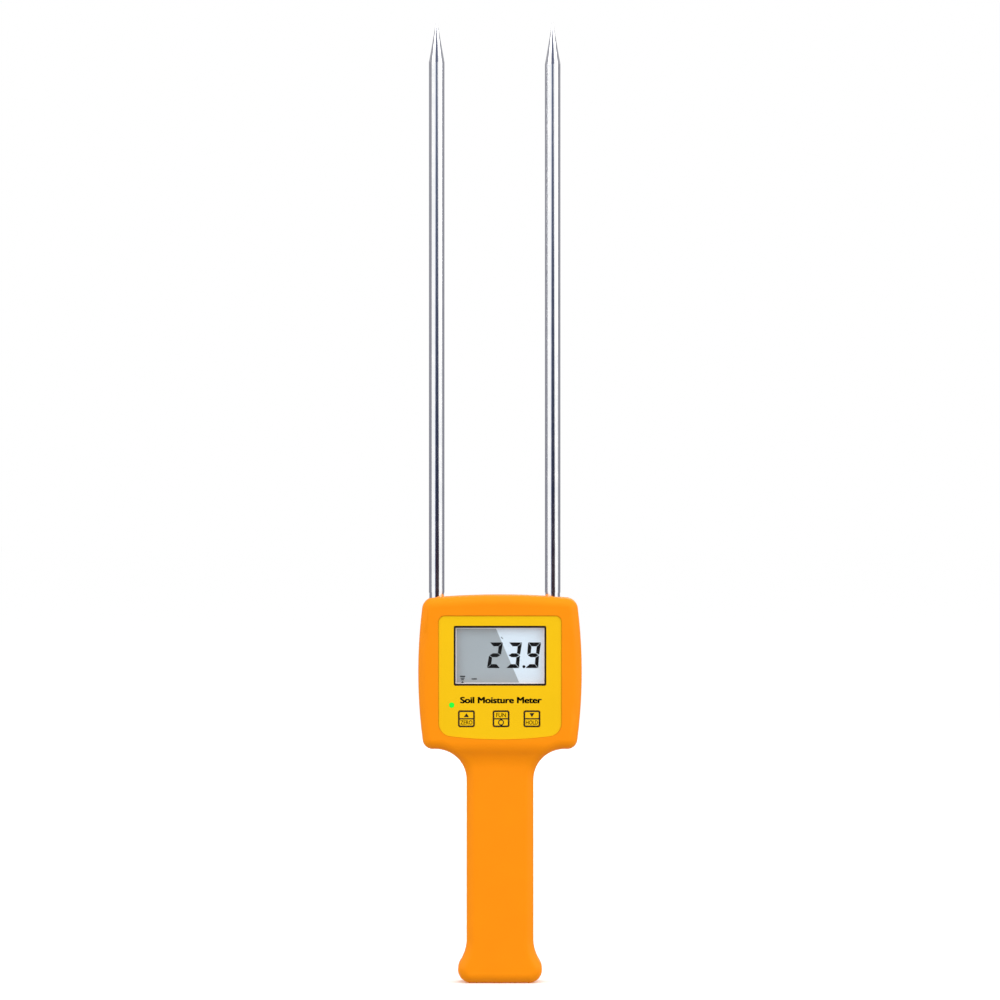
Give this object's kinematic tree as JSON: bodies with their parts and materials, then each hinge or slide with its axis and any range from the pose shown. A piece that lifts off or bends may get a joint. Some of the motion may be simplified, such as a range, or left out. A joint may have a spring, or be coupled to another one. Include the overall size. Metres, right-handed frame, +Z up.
{
  "type": "soil moisture meter",
  "caption": "Hand-held soil moisture meter: display head with keys, battery handle with a hinged door, and two long parallel steel probes with conical points.",
  "frame": {"origin": "centre of the flat end of the handle", "axes": "+Z up the handle to the probe tips, the display faces -Y, +X to the right of someone who reads the display"},
  "size_m": [0.078, 0.035, 0.46],
  "materials": {
    "orange_plastic": "fine moulded texture",
    "yellow_film": "printed polycarbonate film",
    "clear_window": "clear acrylic with a printed black border",
    "lcd_glass": "grey-green reflective display",
    "white_plastic": "natural white",
    "black_plastic": "moulded",
    "black_rubber": "plain",
    "green_lens": "translucent green",
    "circuit_board": "solder mask",
    "plated_steel": "bright chrome plate",
    "zinc_steel": "zinc plate",
    "nickel_plate": "nickel plate",
    "tinned_brass": "tinned",
    "battery_wrap": "printed sleeve on a steel can",
    "red_insulation": "soft",
    "black_insulation": "soft",
    "white_insulation": "soft",
    "silver_label": "printed film"
  },
  "bodies": {
    "housing": {"front_cover": "orange_plastic", "rear_cover": "orange_plastic", "cover_screws": "zinc_steel", "block_screws": "zinc_steel", "board_screws": "zinc_steel", "lock_washers": "zinc_steel", "probe_nuts": "zinc_steel", "face_overlay": "yellow_film", "display_window": "clear_window", "light_pipe": "green_lens", "lcd_glass": "lcd_glass", "lcd_frame": "white_plastic", "connector_strips": "black_rubber", "probe_seals": "black_rubber", "main_board": "circuit_board", "microcontroller": "black_plastic", "surface_mount_parts": "black_plastic", "status_led": "white_plastic", "switch_body_zero": "black_plastic", "switch_body_function": "black_plastic", "switch_body_hold": "black_plastic", "probe_left": "plated_steel", "probe_right": "plated_steel", "probe_block": "black_plastic", "probe_terminal_left": "tinned_brass", "probe_terminal_right": "tinned_brass", "battery_terminal_positive": "nickel_plate", "battery_terminal_negative": "nickel_plate", "battery_bridge": "nickel_plate", "battery_spring_upper": "nickel_plate", "battery_spring_lower": "nickel_plate", "battery_1": "battery_wrap", "battery_2": "battery_wrap", "battery_3": "battery_wrap", "battery_4": "battery_wrap", "battery_lead_red": "red_insulation", "battery_lead_black": "black_insulation", "probe_lead_left": "white_insulation", "probe_lead_right": "white_insulation", "rear_label": "silver_label"},
    "zero_key": {"key_zero": "yellow_film", "switch_plunger_zero": "white_plastic"},
    "function_key": {"key_function": "yellow_film", "switch_plunger_function": "white_plastic"},
    "hold_key": {"key_hold": "yellow_film", "switch_plunger_hold": "white_plastic"},
    "door": {"battery_door": "orange_plastic"}
  },
  "joints": [
    {"name": "key_zero_press", "type": "slide", "parent": "housing", "child": "zero_key", "axis": [0, 1, 0], "range_m": [0, 0.0003], "stiffness_N_per_m": 4000, "springref_m": -0.0002},
    {"name": "key_function_press", "type": "slide", "parent": "housing", "child": "function_key", "axis": [0, 1, 0], "range_m": [0, 0.0003], "stiffness_N_per_m": 4000, "springref_m": -0.0002},
    {"name": "key_hold_press", "type": "slide", "parent": "housing", "child": "hold_key", "axis": [0, 1, 0], "range_m": [0, 0.0003], "stiffness_N_per_m": 4000, "springref_m": -0.0002},
    {"name": "battery_door_hinge", "type": "hinge", "parent": "housing", "child": "door", "pos_m": [0, 0.0121, 0.10131], "axis": [1, 0, 0], "range_deg": [0, 90]}
  ]
}
